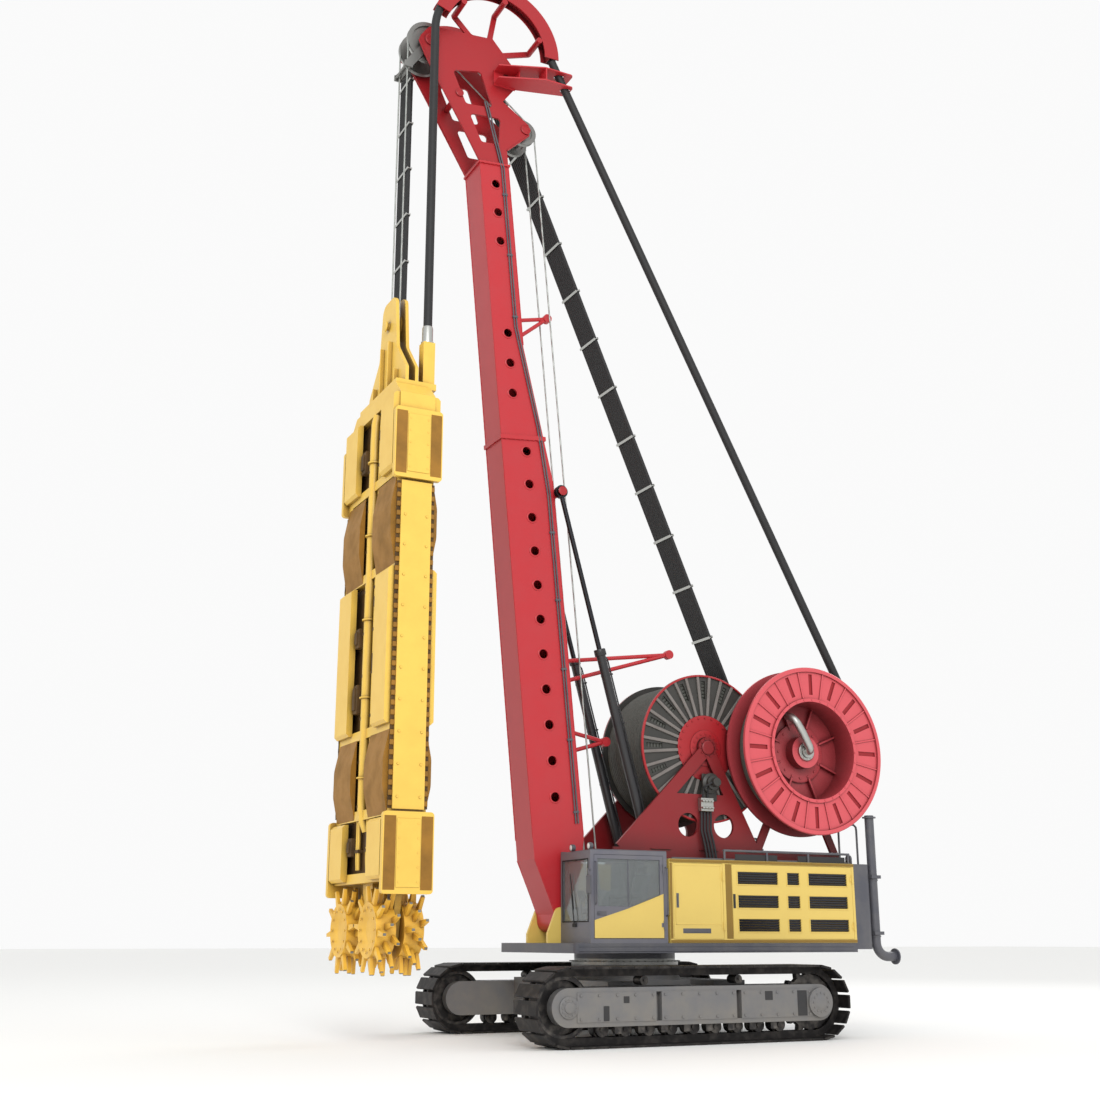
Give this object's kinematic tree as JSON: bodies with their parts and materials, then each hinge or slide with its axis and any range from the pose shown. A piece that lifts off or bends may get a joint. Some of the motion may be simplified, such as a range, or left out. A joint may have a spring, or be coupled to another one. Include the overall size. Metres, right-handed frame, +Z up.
{
  "type": "trench cutter on a crawler carrier",
  "caption": "Crawler carrier with a raked boom, hose reels behind it and a tall hanging trench cutter frame with toothed cutting wheels at its foot.",
  "frame": {"origin": "on the ground, under the middle of the slewing ring", "axes": "+X forward to the hanging cutter, +Y to the machine's left where the cab is, +Z up"},
  "size_m": [10.02, 5, 19.8498],
  "materials": {
    "red_paint": "satin red paint",
    "yellow_paint": "satin yellow paint",
    "dark_paint": "satin dark grey paint",
    "grey_paint": "satin mid grey paint",
    "track_steel": "worn dark cast steel",
    "machined_steel": "machined steel",
    "black_steel": "black nitrided steel",
    "wire_rope": "greased wire rope",
    "hose_rubber": "matt black rubber",
    "seat_fabric": "dark woven fabric",
    "window_glass": "clear tinted glass",
    "engine_iron": "painted cast iron"
  },
  "bodies": {
    "undercarriage": {"carbody": "grey_paint", "slewing_ring": "machined_steel", "track_frame_left": "grey_paint", "track_frame_right": "grey_paint", "track_left": "track_steel", "track_right": "track_steel", "track_rollers": "grey_paint", "idlers": "grey_paint", "sprockets": "grey_paint"},
    "upperworks": {"main_frame": "dark_paint", "counterweight": "dark_paint", "house_left": "yellow_paint", "house_right": "yellow_paint", "engine_block": "engine_iron", "boom_foot_bracket": "yellow_paint", "cab_shell": "dark_paint", "cab_glass": "window_glass", "cab_seat": "seat_fabric", "winch_frame": "dark_paint", "reel_stand": "red_paint", "slurry_pipe": "dark_paint", "handrails": "dark_paint", "hose_spans": "hose_rubber", "hoist_rope_span": "wire_rope"},
    "boom": {"boom_lower": "red_paint", "boom_upper": "red_paint", "boom_head": "red_paint", "hose_arcs": "red_paint", "guide_hoses": "hose_rubber", "rope_guides": "red_paint"},
    "hanger": {"rope_keeper": "machined_steel", "hoist_ropes": "wire_rope", "cutter_hoses": "hose_rubber"},
    "cutter": {"cutter_frame": "yellow_paint", "cutter_guides": "yellow_paint", "steering_flaps": "yellow_paint", "mud_pump": "grey_paint", "cutter_yoke": "yellow_paint"},
    "cutter_wheel_left": {"cutter_wheel_left": "yellow_paint"},
    "cutter_wheel_right": {"cutter_wheel_right": "yellow_paint"},
    "luff_barrels": {"luff_barrels": "dark_paint"},
    "luff_rods": {"luff_rods": "black_steel"},
    "winch_drum": {"winch_drum": "machined_steel"},
    "front_reel": {"front_reel": "dark_paint", "front_reel_hose": "hose_rubber"},
    "rear_reel": {"rear_reel": "red_paint", "rear_reel_hose": "hose_rubber"},
    "hoist_sheaves": {"hoist_sheaves": "machined_steel"},
    "rear_sheaves": {"rear_sheaves": "machined_steel"},
    "cab_door": {"cab_door": "yellow_paint", "cab_door_glass": "window_glass"},
    "service_door_left": {"service_door_left": "yellow_paint"},
    "service_door_right": {"service_door_right": "yellow_paint"},
    "louvre_door_left": {"louvre_door_left": "yellow_paint"},
    "louvre_door_right": {"louvre_door_right": "yellow_paint"}
  },
  "joints": [
    {"name": "slew", "type": "hinge", "parent": "undercarriage", "child": "upperworks", "pos_m": [0, 0, 1.35], "axis": [0, 0, 1], "continuous": true},
    {"name": "boom_luff", "type": "hinge", "parent": "upperworks", "child": "boom", "pos_m": [1.35, 0, 1.95], "axis": [0, 1, 0], "range_deg": [-1, 10], "deforming": ["hose_spans", "hoist_rope_span"]},
    {"name": "cutter_plumb", "type": "hinge", "parent": "boom", "child": "hanger", "pos_m": [4.24405, 0, 18.49943], "axis": [0, 1, 0], "range_deg": [-10, 1]},
    {"name": "cutter_hoist", "type": "slide", "parent": "hanger", "child": "cutter", "axis": [0, 0, 1], "range_m": [-0.25, 3], "deforming": ["hoist_ropes", "cutter_hoses"]},
    {"name": "cutter_wheel_left_spin", "type": "hinge", "parent": "cutter", "child": "cutter_wheel_left", "pos_m": [4.66, 0.71, 1.76], "axis": [1, 0, 0], "continuous": true},
    {"name": "cutter_wheel_right_spin", "type": "hinge", "parent": "cutter", "child": "cutter_wheel_right", "pos_m": [4.66, -0.71, 1.76], "axis": [1, 0, 0], "continuous": true},
    {"name": "luff_barrel_swing", "type": "hinge", "parent": "upperworks", "child": "luff_barrels", "pos_m": [-0.4, 0, 2.55], "axis": [0, 1, 0], "range_deg": [-1.2, 10.2]},
    {"name": "luff_rod_slide", "type": "slide", "parent": "luff_barrels", "child": "luff_rods", "axis": [0.2603, 0, 0.9655], "range_m": [-0.036, 0.33]},
    {"name": "winch_spin", "type": "hinge", "parent": "upperworks", "child": "winch_drum", "pos_m": [0.3, 0, 2.15], "axis": [0, 1, 0], "continuous": true},
    {"name": "front_reel_spin", "type": "hinge", "parent": "upperworks", "child": "front_reel", "pos_m": [-1.35, 0, 5], "axis": [0, 1, 0], "continuous": true},
    {"name": "rear_reel_spin", "type": "hinge", "parent": "upperworks", "child": "rear_reel", "pos_m": [-3.3, 0, 5], "axis": [0, 1, 0], "continuous": true},
    {"name": "hoist_sheave_spin", "type": "hinge", "parent": "boom", "child": "hoist_sheaves", "pos_m": [4.24405, 0, 18.49943], "axis": [0, 1, 0], "continuous": true},
    {"name": "rear_sheave_spin", "type": "hinge", "parent": "boom", "child": "rear_sheaves", "pos_m": [2.19181, 0, 17.08696], "axis": [0, 1, 0], "continuous": true},
    {"name": "cab_door_swing", "type": "hinge", "parent": "upperworks", "child": "cab_door", "pos_m": [0.073, 1.5143, 2.31], "axis": [0, 0, 1], "range_deg": [0, 90]},
    {"name": "service_door_left_swing", "type": "hinge", "parent": "upperworks", "child": "service_door_left", "pos_m": [-1.127, 1.5143, 2.25], "axis": [0, 0, 1], "range_deg": [0, 90]},
    {"name": "service_door_right_swing", "type": "hinge", "parent": "upperworks", "child": "service_door_right", "pos_m": [-1.127, -1.5143, 2.25], "axis": [0, 0, -1], "range_deg": [0, 90]},
    {"name": "louvre_door_left_swing", "type": "hinge", "parent": "upperworks", "child": "louvre_door_left", "pos_m": [-3.927, 1.5143, 2.25], "axis": [0, 0, 1], "range_deg": [0, 110]},
    {"name": "louvre_door_right_swing", "type": "hinge", "parent": "upperworks", "child": "louvre_door_right", "pos_m": [-3.927, -1.5143, 2.25], "axis": [0, 0, -1], "range_deg": [0, 110]}
  ],
  "couplings": [
    {"joint": "cutter_plumb", "follows": "boom_luff", "ratio": -1},
    {"joint": "luff_barrel_swing", "follows": "boom_luff", "ratio": 0.995},
    {"joint": "luff_rod_slide", "follows": "boom_luff", "m_per_rad": 1.847}
  ]
}
